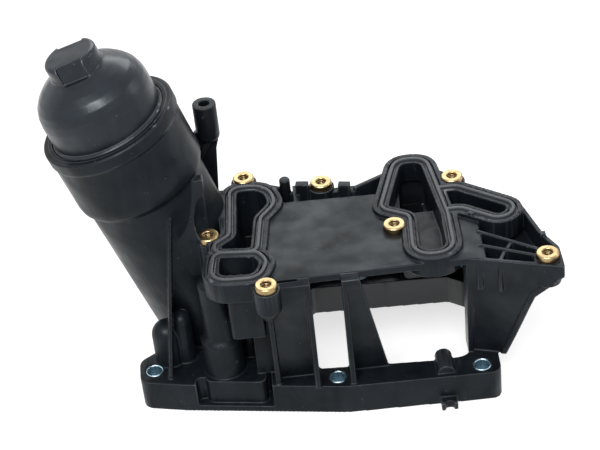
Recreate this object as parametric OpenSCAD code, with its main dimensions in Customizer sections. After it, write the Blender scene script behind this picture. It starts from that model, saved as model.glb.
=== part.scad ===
// Oil filter housing: a moulded frame that bolts to an engine face, carries a
// fluid cooler on its deck and holds a cartridge filter in a leaning bowl.
// Plan places are measured from the front middle bolt, whose foot is 0, 0, 0.

/* [Base flange] */
// Thickness of the base flange
flange_t = 20; // [16:1:26]
// Outside diameter of a bolt sleeve
sleeve_od = 10.6; // [9.8:0.1:12]
// Bore of a bolt sleeve
sleeve_bore = 8.4; // [6.6:0.1:9]
// How far a sleeve stands above the flange
sleeve_stand = 0.4; // [0.2:0.1:1]

/* [Deck] */
// Height of the deck's top face
deck_top = 96.5; // [92:0.5:104]
// Thickness of the deck plate
deck_t = 4.5; // [3:0.5:6]
// Wall of ducts, rails and ribs
wall = 3; // [2.4:0.2:3.6]
// Height of the gasket rims above the deck
rim_h = 2.5; // [2:0.1:3.5]
// Width of the land outside a gasket groove
rim_land = 2.9; // [2:0.1:3.5]
// Width of the land inside a gasket groove
port_land = 1.9; // [1.5:0.1:2.5]

/* [Gaskets] */
// Width of the gasket body in its groove
gasket_w = 4.6; // [4:0.1:5]
// Width of the sealing lip on a gasket
lip_w = 2; // [1.4:0.1:2.6]
// Height of the gasket body
gasket_h = 1.8; // [1.4:0.1:2.4]
// Depth of a gasket groove below the rim
groove_depth = 3.5; // [3:0.1:4]
// How far the sealing lip stands above the rim
lip_stand = 0.9; // [0.6:0.1:1.4]

/* [Threaded inserts] */
// Outside diameter of a brass insert
insert_od = 12.6; // [11:0.1:13]
// Thread diameter in a brass insert
insert_thread = 6; // [5:0.5:8]
// Length of a brass insert
insert_len = 14; // [11:0.5:16]
// How far an insert stands above its boss
insert_stand = 3.5; // [2.5:0.1:4.5]
// Wall of plastic round an insert
boss_wall = 1.3; // [1:0.1:2.2]

/* [Filter bowl] */
// Lean of the bowl away from upright
tower_tilt = 17.6; // [14:0.2:20]
// Wall of the bowl at its foot
foot_wall = 4.2; // [2.4:0.1:5]
// Wall of the bowl below its step
neck_wall = 5.6; // [3.5:0.1:6]
// Wall of the bowl's head round the mouth
head_wall = 6; // [4.6:0.1:7]
// Distance along the bowl's axis from the flange to the step
tower_step_s = 112; // [106:1:114]
// Distance along the bowl's axis from the flange to the rim
tower_rim_s = 153; // [150:1:158]
// Inside radius of the bowl
bowl_r = 30; // [29:0.1:30.4]
// How much wider the bowl's mouth is than the bowl
mouth_step = 3; // [1:0.1:3.4]
// Distance along the axis from the flange to the bowl's floor
bowl_floor_s = 14; // [12:0.5:18]

/* [Filter cap] */
// How far the cap's neck is wider than the mouth
cap_edge = 0.1; // [0:0.05:0.5]
// Wall of the cap
cap_wall = 3.6; // [3:0.1:4.5]
// Length of the straight part of the cap above the rim
cap_straight = 13; // [9:0.5:16]
// Height of the cap's dome
dome_h = 23; // [20:0.5:26]
// Radius of the round head on the cap
head_r = 15.4; // [14:0.1:16]
// Height of the head above the dome
head_h = 10.6; // [9:0.1:13]
// Width of the key notch in the head
notch_w = 15; // [12:0.5:17]
// Distance of the notch's face from the axis, at its foot
notch_at = 12.8; // [12:0.1:13.5]
// Length of the cap's skirt inside the mouth
skirt_len = 25; // [22:0.5:28]
// Section diameter of the cap's seal ring
cap_ring_d = 3.2; // [2.6:0.1:3.6]
// Running clearance of the cap in the mouth
cap_clear = 0.5; // [0.3:0.05:0.7]
// Gap between the seal ring and the bowl's mouth
ring_gap = 0.3; // [0.2:0.05:0.45]

/* [Filter element] */
// Room between the pleated paper and the bowl
paper_gap = 4; // [3:0.1:5]
// Room between the pleated paper and the support tube
tube_gap = 3.5; // [3:0.1:4.5]
// Number of pleats
pleats = 36; // [28:1:44]
// Thickness of an end disc
disc_t = 3; // [2:0.5:4]
// Outside radius of the support tube
stem_r = 11; // [9:0.1:11.6]
// Wall of the support tube
stem_wall = 2; // [1.5:0.1:2.5]

/* [Valves] */
// Outside radius of the front valve case, lower part
valve_foot_r = 12.3; // [12:0.1:13]
// Outside radius of the front valve case, upper part
valve_case_r = 9.6; // [9.4:0.1:10.5]
// Bore radius of the front valve
valve_r = 6.6; // [6:0.1:6.8]
// Running clearance of a valve piston
piston_clear = 0.1; // [0.06:0.02:0.3]
// Bore radius of the return valve
check_r = 7; // [6:0.1:7.4]
// Radius of the wire in a valve spring
wire_r = 0.6; // [0.4:0.05:0.8]
// Coils in a valve spring
spring_coils = 7; // [4:1:9]

/* [Hidden] */
$fn = 64;
eps = 0.02;
far = 400;

// Plan places of the three sorts of fastener
inserts = [[-42.4, 97], [3, 83.7], [79.3, 74.7], [41, 34.2], [-65, 43.5], [-34.4, -8.2], [121, -7.9]];
sleeves = [[-106.4, 23.8], [0, 0], [83, -3.4], [87, 92.5], [21, 93.5]];

// Outlines are corner lists: x, y and the radius of the rounding
flange_line = [[-115, 14.8, 7], [-90, 8.3, 30], [4, -9.2, 30], [93.5, -11.4, 6], [96, 102, 10],
               [-97, 102, 26], [-101, 44, 12], [-115.4, 34, 7]];
window_line = [[-10.5, 9.4, 3], [60, 5, 3], [78.5, 6.4, 9], [86, 72, 8], [74, 81, 5], [-10.5, 85, 3]];
oil_loop = [[-62.3, 26.4, 5.4], [-37.6, 23, 5.4], [-34.2, 55, 8], [-24.9, 68, 12], [-28.5, 87.4, 14],
            [-51, 88.4, 7], [-52.8, 41.8, 6], [-61.4, 34.9, 5]];
return_loop = [[-65, 1.2, 9], [-37.6, -0.8, 9], [-32.4, 13.6, 9], [-37.6, 23, 5.4], [-62.3, 26.4, 5.4]];
coolant_loop = [[48.6, 3.4, 10], [71.6, 3, 10], [72.3, 40, 40], [66.5, 97.3, 9.4], [48, 97.9, 9.4],
                [34.8, 51, 6.4], [50.7, 41.2, 6]];
side_loop = [[71.5, 43.2, 1], [80.5, 43.2, 8], [103.2, 26, 8.4], [112.2, 40.6, 7.6], [81, 64.8, 8], [70, 65, 1]];
deck_line = [[-30, -1.6, 2], [-10.5, -2, 1], [8, -2, 1], [78.5, -1.6, 2], [88, -3.4, 2], [88, 30, 3],
             [80, 62, 5], [44, 69, 4], [-24, 71.6, 2], [-34, 60, 2]];
shelf_line = [[-50, 60, 2], [88, 60, 2], [88, 82, 9], [76, 96, 5], [-34, 96, 5], [-36, 104, 6], [-50, 104, 6]];
wing_line = [[84, -8, 2], [111, -19, 3], [128.8, -20, 3], [129, 0, 6], [122.5, 14, 3], [115, 44, 8], [84, 66, 6]];
duct_line = [[48.4, 85.4, 2.2], [64, 85.4, 2.2], [63.4, 98, 2.2], [49, 98, 2.2]];
sump_line = [[43.5, 58, 4], [71.4, 58, 4], [67.4, 99.6, 4.4], [47, 99.6, 4.4]];

// Heights
rim_top = deck_top + rim_h;
rim_foot = deck_top - 10.5;
groove_z = rim_top - groove_depth;
gasket_top = rim_top + lip_stand;
insert_top = deck_top + insert_stand;
insert_foot = insert_top - insert_len;
shelf_z = deck_top - 14;
wing_z = deck_top - 22;
oil_port_z = deck_top - 31;
sump_z = deck_top - 31;
wing_floor_z = deck_top - 13;
boss_r = insert_od / 2 + boss_wall;

// Tower frame: the axis meets the flange's top at tower_at
tower_at = [-66.8, 72.8];
mouth_r = bowl_r + mouth_step;
tower_foot_r = bowl_r + foot_wall;
tower_neck_r = bowl_r + neck_wall;
tower_head_r = mouth_r + head_wall;
cap_r = mouth_r + cap_edge;
pleat_r = bowl_r - paper_gap;
pleat_in_r = stem_r + tube_gap;
head_cup_s = tower_rim_s - 2.5;
cap_foot_s = head_cup_s + 3.3;
cap_dome_s = cap_foot_s + cap_straight;
cap_head_s = cap_dome_s + dome_h;
// The dome's profile: shares of the cap's radius and of the dome's height
dome_shape = [[1, 0.09], [0.981, 0.29], [0.935, 0.47], [0.847, 0.64], [0.732, 0.79], [0.592, 0.91], [0.467, 0.99]];
head_round = 1.8;
notch_draft = 14;
cup_edge = 1;
cup_clear = 0.6;
skirt_r = mouth_r - cap_clear;
ring_r = mouth_r - ring_gap - cap_ring_d / 2;
ring_seat = 0.06;
skirt_in_r = ring_r - cap_ring_d / 2 - 1.6;
skirt_foot_s = head_cup_s - skirt_len;
ring_s = head_cup_s - 8;
element_foot_s = bowl_floor_s + 3.5;
element_top_s = tower_step_s + 8;
guide_clear = 0.5;
clip_r = 17;

// Front valve, upright, with its seat at the top
valve_at = [-64.5, 21];
valve_plug_h = 8;
valve_seat_z = flange_t + 38;
valve_top_z = deck_top - 11;
valve_step_z = flange_t + 25;
valve_cup_h = 16;
// Return valve, upright, with its seat at the bottom
check_at = [-48.6, 36];
check_seat_h = 5;
check_cup_h = 12;
check_stop_z = flange_t + 13;
spring_gap = 0.3;
seat_r = 4.5;
stop_r = 3.2;

// Seals in the engine face
port_ring_w = 3;
port_ring_h = 2.4;
drain_r = 8;
// Foot and lean of the thin web in front of the bowl
web_at = [-97, 14.6];
web_lean = 7.2;
drain_at = [tower_at[0] + flange_t * tan(tower_tilt), tower_at[1]];

// Front view of the right column, of the deck's corner and of the rib along the edge, in x and z
column_edge = [[98.4, flange_t - 1], [103.6, 36], [110.4, 60], [113.6, 70.6], [124.2, 83.4]];
column_line = [[77, flange_t - 1], each column_edge, [128.4, deck_top - 8], [128.4, deck_top - 0.5],
               [77, deck_top - 0.5]];
wing_side = [each column_edge, [129.4, deck_top - 8], [129.4, deck_top + 5], [77, deck_top + 5], [77, flange_t - 1]];
column_rib_line = [each column_edge, [121.4, 85.8], [110.6, 72.6], [107.2, 61.2], [100.4, 37.4],
                   [95.2, flange_t - 1]];

arm_at = [-59.3, 97.5];
arm_top = 154;
arm_r = 6.3;
arm_bore = 6.4;
arm_bore_l = 16;
arm_post_l = 22;
// Side view of the arm's web, in x and z
arm_line = [[-90, shelf_z], [-58.6, shelf_z], [-55.4, arm_top - 30], [-53.6, arm_top - 24],
            [-53.4, arm_top - 12], [-65, arm_top - 12], [-65, arm_top - 17], [-71, arm_top - 23],
            [-90, arm_top - 14]];

// One rounded corner of an outline that is moved outward by d. Where the
// rounding shrinks to nothing the corner comes out sharp.
function corner(a, b, c, d) =
    let (p = [b[0], b[1]],
         u = (p - [a[0], a[1]]) / norm(p - [a[0], a[1]]),
         v = ([c[0], c[1]] - p) / norm([c[0], c[1]] - p),
         turn = atan2(u[0] * v[1] - u[1] * v[0], u * v),
         side = sign(turn),
         radius = b[2] + side * d,
         centre = p - b[2] * tan(abs(turn) / 2) * u + side * b[2] * [-u[1], u[0]],
         steps = max(1, ceil(abs(turn) / 18)))
    radius < 0.2
        ? [p + d * [u[1] + v[1], -u[0] - v[0]] / (1 + u * v)]
        : [for (k = [0:steps]) let (w = turn * k / steps)
            centre + side * radius * [u[1] * cos(w) + u[0] * sin(w), u[1] * sin(w) - u[0] * cos(w)]];

function outline(line, d = 0) =
    let (n = len(line))
    [for (i = [0:n - 1]) each corner(line[(i + n - 1) % n], line[i], line[(i + 1) % n], d)];

module slab(line, z0, z1, d = 0)
    translate([0, 0, z0]) linear_extrude(z1 - z0) polygon(outline(line, d));

module post(at, r, z0, z1)
    translate([at[0], at[1], z0]) cylinder(r = r, h = z1 - z0);

// Puts a shape in the frame of the leaning bowl
module on_tower()
    translate([tower_at[0], tower_at[1], flange_t]) rotate([0, -tower_tilt, 0]) children();

// An upright panel that leans: its section is drawn in y and z
module panel(x0, x1, section)
    translate([x0, 0, 0]) rotate([90, 0, 90]) linear_extrude(x1 - x0) polygon(section);

// A straight thin wall between two plan points
module fence(a, b, t, z0, z1)
    translate([a[0], a[1], z0]) rotate(atan2(b[1] - a[1], b[0] - a[0]))
        translate([0, -t / 2, 0]) cube([norm([b[0] - a[0], b[1] - a[1]]), t, z1 - z0]);

module base() {
    difference() {
        slab(flange_line, 0, flange_t);
        slab(window_line, -1, flange_t + 1);
        // pocket in the front edge
        slab([[-82.4, -8, 1], [-38.4, -8, 1], [-38.4, 13, 3], [-82.4, 13, 3]], 4, flange_t + 1);
        // lightening pockets in the engine face
        slab([[-30, 30, 4], [-15, 30, 4], [-15, 92, 4], [-30, 92, 4]], -1, flange_t - wall - 1);
        slab([[-97, 52, 3], [-88, 52, 3], [-88, 92, 3], [-93, 92, 2]], -1, flange_t - wall - 1);
    }
    // block inside the front pocket
    slab([[-76.5, 9, 4], [-41.4, 2.4, 4], [-41.4, 20, 2], [-76.5, 20, 2]], 3, flange_t);
    // half round pad across the front bar
    translate([62, -7.5, flange_t]) rotate([-90, 0, 0]) cylinder(r = 5, h = 16.5);
    // forked tab on the lower front edge
    difference() {
        translate([57.4, -17, 0]) cube([9.4, 8, 5]);
        translate([62.1, -17, -1]) cylinder(r = 2.6, h = 8);
    }
}

// Ribs and leaning panels between the flange and the deck's front edge
module front_wall() {
    top = deck_top - 0.8;
    lean = [[8, flange_t], [-3, top], [-6.6, top - 1.5], [-6.6, top - 5], [5, flange_t]];
    panel(-33, -10.5, lean);
    intersection() {
        panel(7, 32, lean);
        translate([0, 50, 0]) rotate([90, 0, 0]) linear_extrude(100)
            polygon([[7, 0], [33.4, 0], [16.6, top + 1], [7, top + 1]]);
    }
    for (x = [-13.4, 7])
        panel(x, x + wall, [[9, flange_t - 1], [2, top], [-6.6, top - 1.5], [-7.4, flange_t - 1]]);
    panel(-35.9, -32.9, [[9, flange_t - 1], [5, deck_top - 20], [-6, deck_top - 20], [-0.6, flange_t - 1]]);
    panel(-46, -33, [[14, flange_t - 1], [14, deck_top - 30], [11, deck_top - 30], [11, flange_t - 1]]);
    translate([-14, 5, 0]) cube([3.5, 85, deck_top - 2]);
    // chamber behind the front valve's top
    slab([[-57, -2.6, 2], [-37.5, -3.4, 2], [-37.5, 20, 1], [-57, 20, 1]], deck_top - 38, rim_foot);
}

// An outline in x and z, drawn as seen from the front and deep enough for any cut
module front_view(line)
    translate([0, far / 4, 0]) rotate([90, 0, 0]) linear_extrude(far / 2) polygon(line);

// The space between two distances behind the right column's leaning front face
module column_slice(near, deep)
    translate([76, -1.4, deck_top + 1]) rotate([0, 0, -18.5]) rotate([9.6, 0, 0])
        translate([-far / 4, near, -far / 3]) cube([far / 2, deep - near, far / 2]);

// The right column leans back and opens upward into the corner boss
module right_column() {
    intersection() {
        front_view(column_line);
        column_slice(0, wall);
    }
    intersection() {
        front_view(column_rib_line);
        column_slice(-1, 12);
    }
    panel(77, 80, [[22, flange_t - 1], [14, deck_top - 2], [-1, deck_top - 2], [9, flange_t - 1]]);
}

// Cut-outs of the deck corner on the right, with its lattice of thin ribs
module wing() {
    intersection() {
        difference() {
            slab(wing_line, wing_z, deck_top);
            difference() {
                slab(wing_line, wing_floor_z, deck_top + 1, -2.4);
                column_slice(-far / 8, 2.4);
            }
        }
        column_slice(0, far / 2);
        front_view(wing_side);
    }
    fence([86.5, 22.4], [117, 0], 2.2, wing_z, deck_top + 0.6);
    fence([86, 9.4], [115, -5.6], 2.2, wing_z, deck_top + 0.6);
    fence([104.6, 10.6], [98.6, 1.4], 2, wing_z, deck_top);
    fence([98.6, 1.4], [94.6, -7], 2, wing_z, deck_top);
    translate([120.4, 10.6, deck_top - 1]) cube([3, 3, 3]);
    fence([84, 22.6], [84, -3], 3, wing_z, deck_top);
}

// Rear rail with its post and lugs
module rear_rail() {
    z0 = shelf_z;
    fence([-38, 94.6], [-20, 85.4], 2.6, z0, deck_top + 0.5);
    fence([-20, 85.4], [-4, 82.2], 2.6, z0, deck_top - 3);
    fence([-4, 82.2], [22, 78], 2.6, z0, deck_top - 2);
    fence([22, 78], [46, 91], 2.6, z0, deck_top + 0.5);
    post([-18.2, 85.6], 3, z0, deck_top + 4.5);
    translate([-12.4, 80, z0]) rotate(-9) cube([7.6, 4.6, deck_top + 1.5 - z0]);
    translate([12.4, 77, z0]) rotate(-12) cube([7, 4.6, deck_top + 1.5 - z0]);
    fence([68, 88], [79.3, 79], 2.6, z0, deck_top + 0.5);
    fence([82, 70], [88, 63], 2.6, z0, deck_top + 0.5);
    post([85.4, 36], 1.8, deck_top - 1, deck_top + 4);
    fence([85.4, 36], [83, 43], 2, deck_top - 1, deck_top + 1.6);
}

// Rear wall and shelf, open in two bays
module rear_wall() {
    slab(shelf_line, shelf_z, shelf_z + wall);
    difference() {
        translate([-36, 92.5, flange_t - 1]) cube([122, wall, shelf_z - flange_t + 2]);
        translate([-4, 80, flange_t + 8]) cube([22, 30, 40]);
        translate([24, 80, flange_t + 8]) cube([18, 30, 40]);
    }
    fence([86, 94], [86, 62], wall, flange_t - 1, shelf_z + 1);
    fence([84.5, 64], [84.5, -2], wall, deck_top - 20, deck_top - 1);
}

// Walls of the ducts below the gasket ports
module ducts() {
    slab(oil_loop, oil_port_z - wall, rim_foot + 1, -gasket_w / 2 - port_land + wall);
    slab(coolant_loop, rim_foot - wall, rim_foot + 1, -gasket_w / 2 - port_land + wall);
    slab(side_loop, wing_z, rim_foot + 1, -gasket_w / 2 - port_land + wall);
    slab(duct_line, 0, sump_z + 1, wall - 1);
    slab(sump_line, sump_z - wall, rim_foot + 1, 0);
}

module rims() {
    out = gasket_w / 2 + rim_land;
    for (line = [oil_loop, return_loop, coolant_loop, side_loop])
        slab(line, rim_foot, rim_top, out);
}

module bosses() {
    for (k = [0:4])
        post(inserts[k], boss_r, k == 4 ? deck_top - 50 : shelf_z - 2, deck_top);
    // front boss with a tapered foot
    post(inserts[5], boss_r, deck_top - 14, deck_top);
    translate([inserts[5][0], inserts[5][1], deck_top - 22]) cylinder(r1 = 2.4, r2 = boss_r, h = 8 + eps);
    fence([inserts[5][0], inserts[5][1]], [-34.4, 6], 11, deck_top - 12, deck_top - 1.2);
    post(inserts[6], boss_r, deck_top - 16, deck_top);
    // pad between the bowl and the boss beside it
    panel(-84, -64, [[38.5, deck_top - 20], [38.5, deck_top + 4], [54, deck_top + 34], [60, deck_top + 34],
                     [60, deck_top - 46], [46, deck_top - 46]]);
    // lower left round bosses by the end bolt
    translate([-96.6, 34, 0]) cylinder(r = 9, h = flange_t + 19);
    translate([-96.6, 34, flange_t + 19]) sphere(r = 9);
    translate([-87.6, 33.6, 0]) cylinder(r = 6.2, h = flange_t + 28);
    translate([-87.6, 33.6, flange_t + 28]) sphere(r = 6.2);
    // thin web from the end bolt up the front of the bowl
    translate([web_at[0], web_at[1], flange_t]) rotate([0, web_lean, 0])
        panel(-1, 1, [[0, -1.5], [0, 2], [24.4, 98], [34, 98], [34, -1.5]]);
}

module valve_case() {
    post(valve_at, valve_foot_r, 4, valve_step_z - 2);
    translate([valve_at[0], valve_at[1], valve_step_z - 2 - eps])
        cylinder(r1 = valve_foot_r, r2 = valve_case_r, h = 3);
    post(valve_at, valve_case_r, valve_step_z, valve_top_z - 2.5);
    translate([valve_at[0], valve_at[1], valve_top_z - 2.5 - eps])
        cylinder(r1 = valve_case_r, r2 = valve_case_r - 3, h = 3);
    post(check_at, check_r + wall, 0, oil_port_z);
}

module tower_body() {
    on_tower() rotate_extrude()
        polygon([[0, -36], [tower_foot_r - 1, -36], [tower_foot_r, 0], [tower_neck_r, tower_step_s - 5],
                 [tower_head_r - 2.4, tower_step_s - 3.8], [tower_head_r - 0.5, tower_step_s - 1.2],
                 [tower_head_r, tower_step_s + 2.4], [tower_head_r, tower_rim_s - 8.4],
                 [tower_head_r + 0.9, tower_rim_s - 7.8], [tower_head_r + 0.9, tower_rim_s - 1.6],
                 [tower_head_r - 0.7, tower_rim_s], [0, tower_rim_s]]);
}

// Bracket arm behind the bowl with an upright bolt hole
module arm() {
    translate([0, arm_at[1] + 2, 0]) rotate([90, 0, 0]) linear_extrude(4.5)
        polygon(arm_line);
    post(arm_at, arm_r, arm_top - arm_post_l, arm_top);
    translate([-67.5, arm_at[1] - 5.4, arm_top - 35]) rotate([0, 31, 0]) cube([2.4, 4, 22]);
    fence([-58, arm_at[1]], [-44, 97], 4, shelf_z, shelf_z + 8);
}

module bowl_cut() {
    on_tower() rotate_extrude()
        polygon([[0, bowl_floor_s], [bowl_r, bowl_floor_s], [bowl_r, tower_step_s - 3], [mouth_r, tower_step_s],
                 [mouth_r, head_cup_s], [cap_r + cup_edge + cup_clear, head_cup_s],
                 [cap_r + cup_edge + cup_clear, tower_rim_s + 1],
                 [0, tower_rim_s + 1]]);
    on_tower() translate([0, 0, -50]) cylinder(r = drain_r, h = 70);
    on_tower() translate([0, 0, bowl_floor_s - 6]) cylinder(r = stem_r, h = 7);
    // cross bore from the oil port into the bowl
    translate([-62, 68, oil_port_z + 9]) rotate([0, 90, 0]) cylinder(r = 6.5, h = 18);
}

module port_cuts() {
    in = -gasket_w / 2 - port_land;
    slab(oil_loop, oil_port_z, far / 2, in);
    slab(return_loop, deck_top - 12.5, far / 2, in);
    slab([[-58, 5, 3], [-50, 5, 3], [-50, 17.6, 3], [-58, 17.6, 3]], deck_top - 29, far / 2);
    slab(coolant_loop, rim_foot, far / 2, in);
    slab(side_loop, wing_z + wall, far / 2, in);
    slab(duct_line, -1, sump_z + 1, -1);
    slab(sump_line, sump_z, rim_foot, -wall);
}

module groove_cuts() {
    for (pair = [[oil_loop, return_loop], [coolant_loop, side_loop]])
        gasket_shape(pair, groove_z, far / 2, gasket_w);
}

module fastener_cuts() {
    for (p = inserts) {
        post(p, insert_od / 2, insert_foot, far / 2);
        post(p, insert_thread / 2 + 0.3, insert_foot - 4, insert_foot + 1);
    }
    for (p = sleeves)
        post(p, sleeve_od / 2, -1, flange_t + 1);
    post(arm_at, arm_bore / 2, arm_top - arm_bore_l, arm_top + 1);
}

module valve_cuts() {
    post(valve_at, valve_r + 1.2, -1, valve_plug_h);
    post(valve_at, valve_r, -1, valve_seat_z);
    post(valve_at, seat_r, 0, valve_top_z - 8);
    translate([valve_at[0], 15.4, deck_top - 24]) rotate([0, 90, 0]) cylinder(r = 2.5, h = 12);
    post(check_at, check_r, -1, check_stop_z);
    post(check_at, stop_r, 0, oil_port_z + 1);
}

module seal_cuts() {
    port_ring(drain_at, drain_r + 5, 1);
    port_ring(check_at, check_r + 3.4, 1);
    slab_ring(duct_line, 1);
}

module port_ring(at, r, over = 0)
    translate([at[0], at[1], -over]) difference() {
        cylinder(r = r + port_ring_w, h = port_ring_h + over);
        translate([0, 0, -1]) cylinder(r = r, h = port_ring_h + over + 2);
    }

module slab_ring(line, over = 0)
    difference() {
        slab(line, -over, port_ring_h, 2.4);
        slab(line, -over - 1, port_ring_h + 1, 0.2);
    }

module gasket_shape(pair, z0, z1, w)
    difference() {
        union() for (line = pair) slab(line, z0, z1, w / 2);
        for (line = pair) slab(line, z0 - 1, z1 + 1, -w / 2);
    }

module housing() color([0.17, 0.18, 0.2]) difference() {
    union() {
        base();
        front_wall();
        right_column();
        slab(deck_line, deck_top - deck_t, deck_top);
        wing();
        rear_rail();
        rear_wall();
        ducts();
        rims();
        bosses();
        valve_case();
        tower_body();
        arm();
    }
    bowl_cut();
    port_cuts();
    groove_cuts();
    fastener_cuts();
    valve_cuts();
    seal_cuts();
    translate([-far / 2, -far / 2, -far]) cube([far, far, far]);
}

module filter_cap() color([0.19, 0.2, 0.22]) on_tower() {
    in_r = cap_r - cap_wall;
    difference() {
        union() {
            rotate_extrude()
                polygon([[0, skirt_foot_s], [skirt_r, skirt_foot_s], [skirt_r, head_cup_s],
                         [cap_r + cup_edge, head_cup_s], [cap_r + cup_edge, cap_foot_s - 0.8], [cap_r, cap_foot_s],
                         for (p = dome_shape) [cap_r * p[0], cap_dome_s + dome_h * p[1]],
                         [0, cap_head_s]]);
            cap_head();
        }
        rotate_extrude()
            polygon([[0, skirt_foot_s - 1], [skirt_in_r, skirt_foot_s - 1], [skirt_in_r, head_cup_s],
                     [in_r, cap_foot_s + 2],
                     for (p = dome_shape) [in_r * p[0], cap_dome_s + (dome_h - cap_wall) * p[1]],
                     [0, cap_head_s - cap_wall]]);
        translate([0, 0, ring_s - cap_ring_d / 2 - ring_seat]) difference() {
            cylinder(r = skirt_r + 1, h = cap_ring_d + 2 * ring_seat);
            translate([0, 0, -1]) cylinder(r = ring_r - cap_ring_d / 2 - ring_seat, h = cap_ring_d + 3);
        }
    }
    // inner tube that holds the filter element
    difference() {
        translate([0, 0, element_top_s + disc_t + 0.3])
            cylinder(r = clip_r, h = cap_head_s - cap_wall + 1 - element_top_s - disc_t);
        translate([0, 0, element_top_s])
            cylinder(r = clip_r - 2, h = cap_head_s - cap_wall + 2 - element_top_s);
        for (a = [0:60:300])
            rotate(a) translate([clip_r, 0, cap_dome_s - 14]) cube([8, 8, 24], center = true);
    }
}

// Round head with a rounded top edge and two key notches
module cap_head() {
    top = cap_head_s + head_h;
    difference() {
        rotate_extrude()
            polygon([[0, cap_head_s - 4], [head_r + 2, cap_head_s - 4], [head_r + 2, cap_head_s - 1.6],
                     [head_r, cap_head_s + 0.5], [head_r, top - head_round], [head_r - 0.6, top - head_round / 3],
                     [head_r - head_round, top], [0, top]]);
        for (a = [-90, 90])
            rotate(a) translate([notch_at, -notch_w / 2, cap_head_s - 0.8]) rotate([0, -notch_draft, 0])
                cube([head_r, notch_w, head_h + 4]);
    }
}

module cap_seal_ring() color([0.08, 0.08, 0.09]) on_tower() translate([0, 0, ring_s])
    rotate_extrude() translate([ring_r, 0]) circle(d = cap_ring_d, $fn = 32);

module filter_paper() color([0.86, 0.74, 0.42]) on_tower()
    translate([0, 0, element_foot_s + disc_t]) linear_extrude(element_top_s - element_foot_s - disc_t)
        difference() {
            polygon([for (k = [0:2 * pleats - 1]) let (a = 180 * k / pleats, r = k % 2 ? pleat_in_r + 1 : pleat_r)
                r * [cos(a), sin(a)]]);
            polygon([for (k = [0:2 * pleats - 1]) let (a = 180 * k / pleats, r = k % 2 ? pleat_in_r : pleat_r - 2.6)
                r * [cos(a), sin(a)]]);
        }

module end_disc(s)
    on_tower() translate([0, 0, s]) difference() {
        cylinder(r = pleat_r + 0.8, h = disc_t);
        translate([0, 0, -1]) cylinder(r = stem_r + guide_clear, h = disc_t + 2);
    }

module filter_top_disc() color([0.25, 0.3, 0.33]) end_disc(element_top_s);

module filter_foot_disc() color([0.25, 0.3, 0.33]) end_disc(element_foot_s);

module support_tube() color([0.12, 0.12, 0.13]) on_tower() {
    top_s = element_top_s - 8;
    difference() {
        translate([0, 0, bowl_floor_s - 6]) cylinder(r = stem_r, h = top_s - bowl_floor_s + 6);
        translate([0, 0, bowl_floor_s - 7]) cylinder(r = stem_r - stem_wall, h = top_s - bowl_floor_s + 4);
        for (row = [0:5], a = [0:60:120])
            translate([0, 0, bowl_floor_s + 14 + row * 14]) rotate(a + 30 * (row % 2)) cube([40, 5, 8], center = true);
    }
}

module oil_gasket() color([0.24, 0.25, 0.26]) {
    gasket_shape([oil_loop, return_loop], groove_z, groove_z + gasket_h, gasket_w);
    gasket_shape([oil_loop, return_loop], groove_z + gasket_h - eps, gasket_top, lip_w);
}

module coolant_gasket() color([0.24, 0.25, 0.26]) {
    gasket_shape([coolant_loop, side_loop], groove_z, groove_z + gasket_h, gasket_w);
    gasket_shape([coolant_loop, side_loop], groove_z + gasket_h - eps, gasket_top, lip_w);
}

// A coil spring as a round wire swept along a helix with closed ends
module coil(at, r, z0, z1) {
    sides = 6;
    rings = spring_coils * 14;
    pitch = (z1 - z0 - 2 * wire_r) / spring_coils;
    pts = [for (i = [0:rings], j = [0:sides - 1])
        let (a = 360 * spring_coils * i / rings, b = 360 * j / sides, q = r + wire_r * cos(b))
        [q * cos(a), q * sin(a), wire_r + pitch * a / 360 + wire_r * sin(b)]];
    faces = [[for (j = [0:sides - 1]) j],
             for (i = [0:rings - 1], j = [0:sides - 1])
                 [i * sides + j, (i + 1) * sides + j, (i + 1) * sides + (j + 1) % sides],
             for (i = [0:rings - 1], j = [0:sides - 1])
                 [i * sides + j, (i + 1) * sides + (j + 1) % sides, i * sides + (j + 1) % sides],
             [for (j = [sides - 1:-1:0]) rings * sides + j]];
    translate([at[0], at[1], z0]) polyhedron(pts, faces, convexity = 8);
}

module bypass_piston() color([0.72, 0.72, 0.7]) difference() {
    post(valve_at, valve_r - piston_clear, valve_seat_z - valve_cup_h, valve_seat_z - spring_gap);
    post(valve_at, valve_r - 2, valve_seat_z - valve_cup_h - 1, valve_seat_z - 3);
}

module bypass_spring() color([0.8, 0.8, 0.8])
    coil(valve_at, valve_r - 2.9, valve_plug_h + spring_gap, valve_seat_z - 3 - spring_gap);

module bypass_plug() color([0.3, 0.31, 0.33]) difference() {
    post(valve_at, valve_r + 1.2, 0.6, valve_plug_h);
    post(valve_at, 3.2, 0, valve_plug_h + 1);
}

module return_seat() color([0.72, 0.72, 0.7]) difference() {
    post(check_at, check_r, 0.6, check_seat_h);
    post(check_at, seat_r, 0, check_seat_h + 1);
}

module return_piston() color([0.72, 0.72, 0.7]) difference() {
    post(check_at, check_r - piston_clear, check_seat_h + spring_gap, check_seat_h + check_cup_h);
    post(check_at, check_r - 2, check_seat_h + 3, check_seat_h + check_cup_h + 1);
}

module return_spring() color([0.8, 0.8, 0.8])
    coil(check_at, check_r - 2.9, check_seat_h + 3 + spring_gap, check_stop_z - spring_gap);

module port_seal_1() color([0.1, 0.1, 0.11]) port_ring(drain_at, drain_r + 5);

module port_seal_2() color([0.1, 0.1, 0.11]) port_ring(check_at, check_r + 3.4);

module port_seal_3() color([0.1, 0.1, 0.11]) slab_ring(duct_line);

module brass_insert(k) color([0.83, 0.68, 0.33]) difference() {
    post(inserts[k], insert_od / 2, insert_foot, insert_top);
    post(inserts[k], insert_thread / 2, insert_foot - 1, insert_top + 1);
}

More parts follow.
